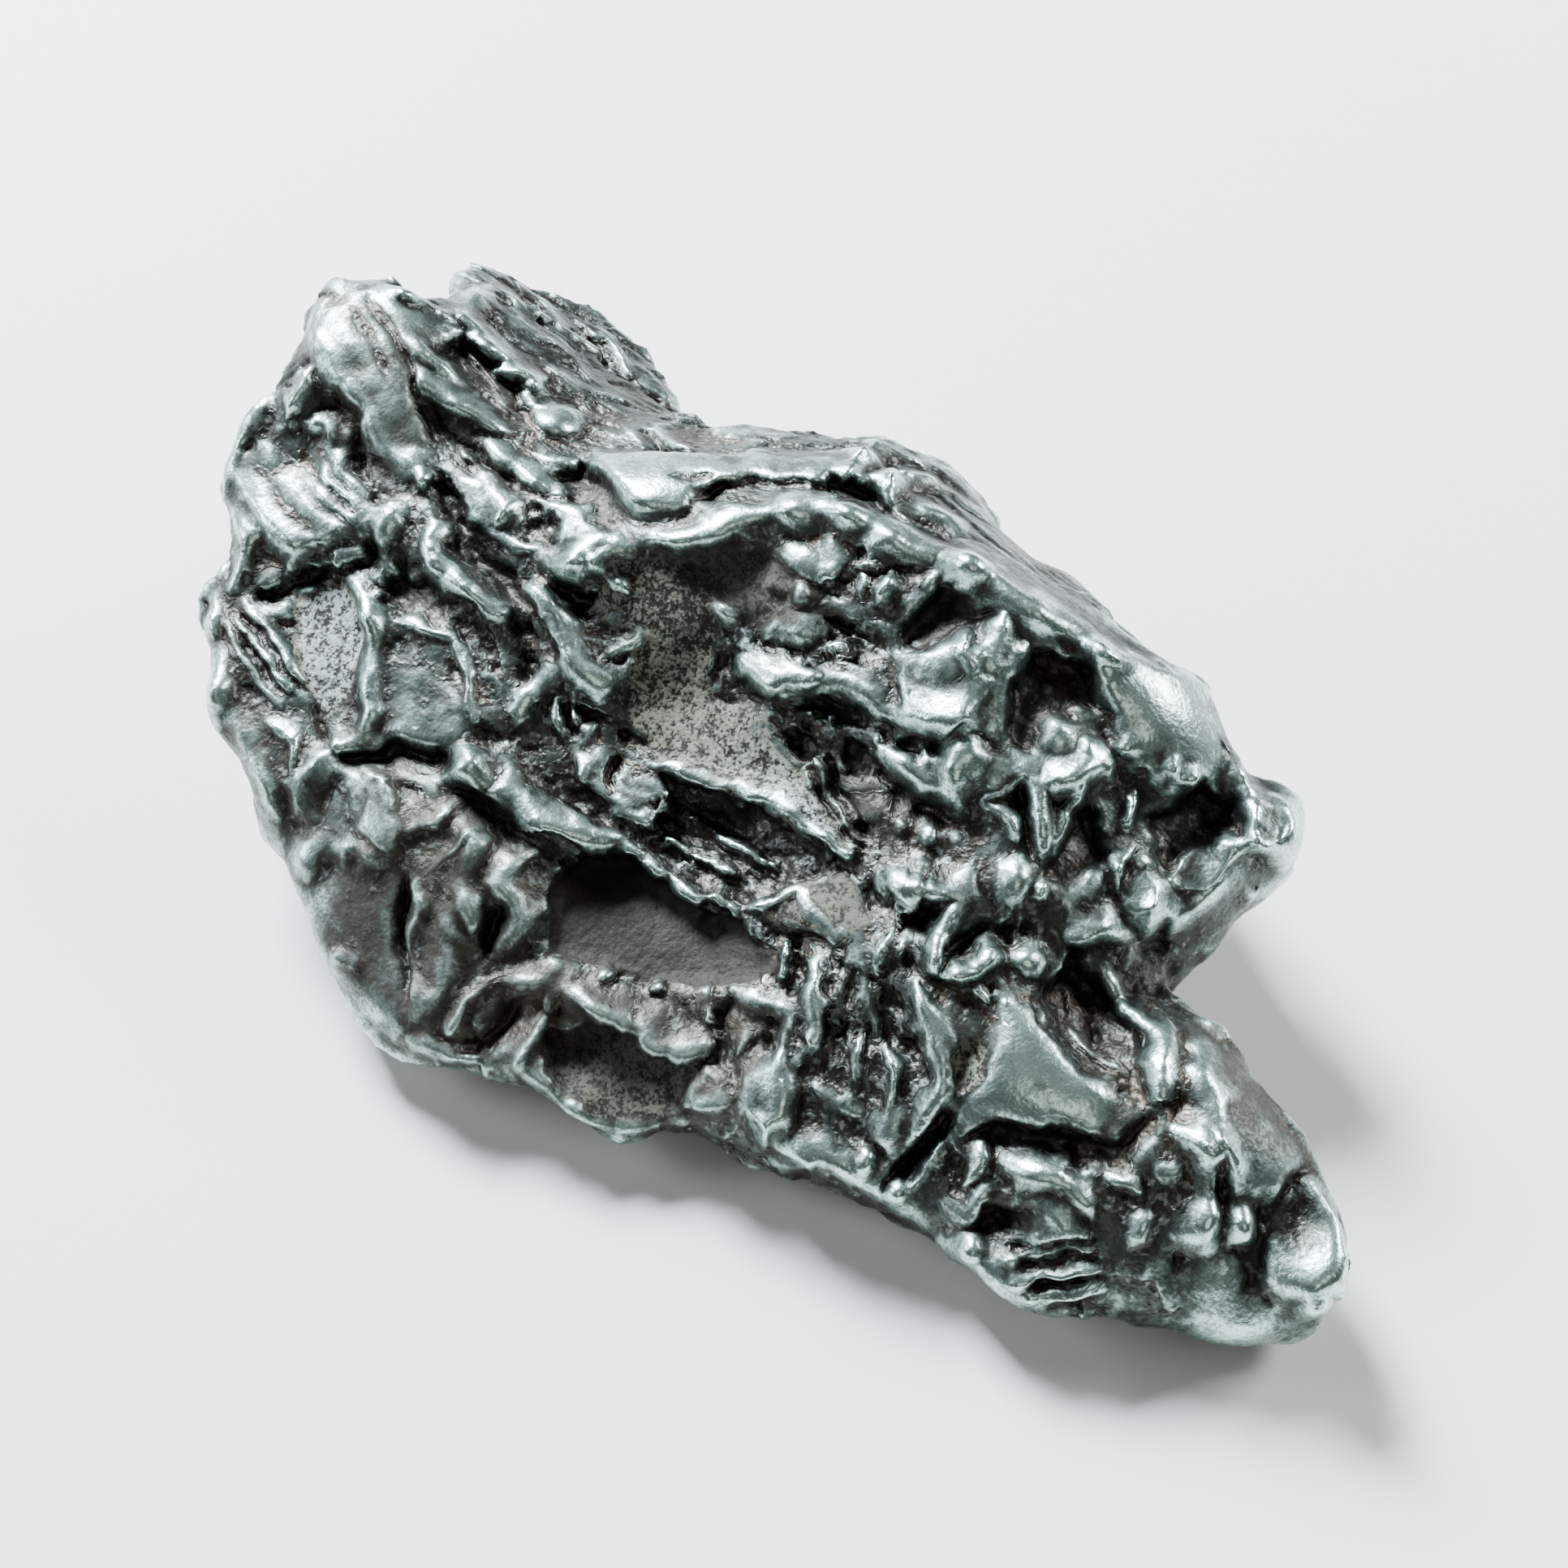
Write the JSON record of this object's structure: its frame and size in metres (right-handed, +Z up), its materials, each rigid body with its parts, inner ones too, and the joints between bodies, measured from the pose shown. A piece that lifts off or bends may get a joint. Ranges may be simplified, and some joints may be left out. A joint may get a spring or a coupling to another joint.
{
  "type": "iron meteorite",
  "caption": "Palm-sized iron meteorite: a flattened, knobbly lump of polished nickel-iron with ridges, ledges and pits, a lobed thick end, a high crest and a narrow tail.",
  "frame": {"origin": "middle of the bounding box in plan, on the surface that the lump rests on", "axes": "+X along the lump towards its narrow tail, +Y towards the high crest, +Z up from the resting face"},
  "size_m": [0.0717, 0.0423, 0.02],
  "materials": {
    "nickel_iron": "worn bright nickel-iron on the ridges, matt speckled grey on the facets, dark oxide in the hollows"
  },
  "bodies": {
    "root": {"meteorite": "nickel_iron"}
  },
  "joints": []
}
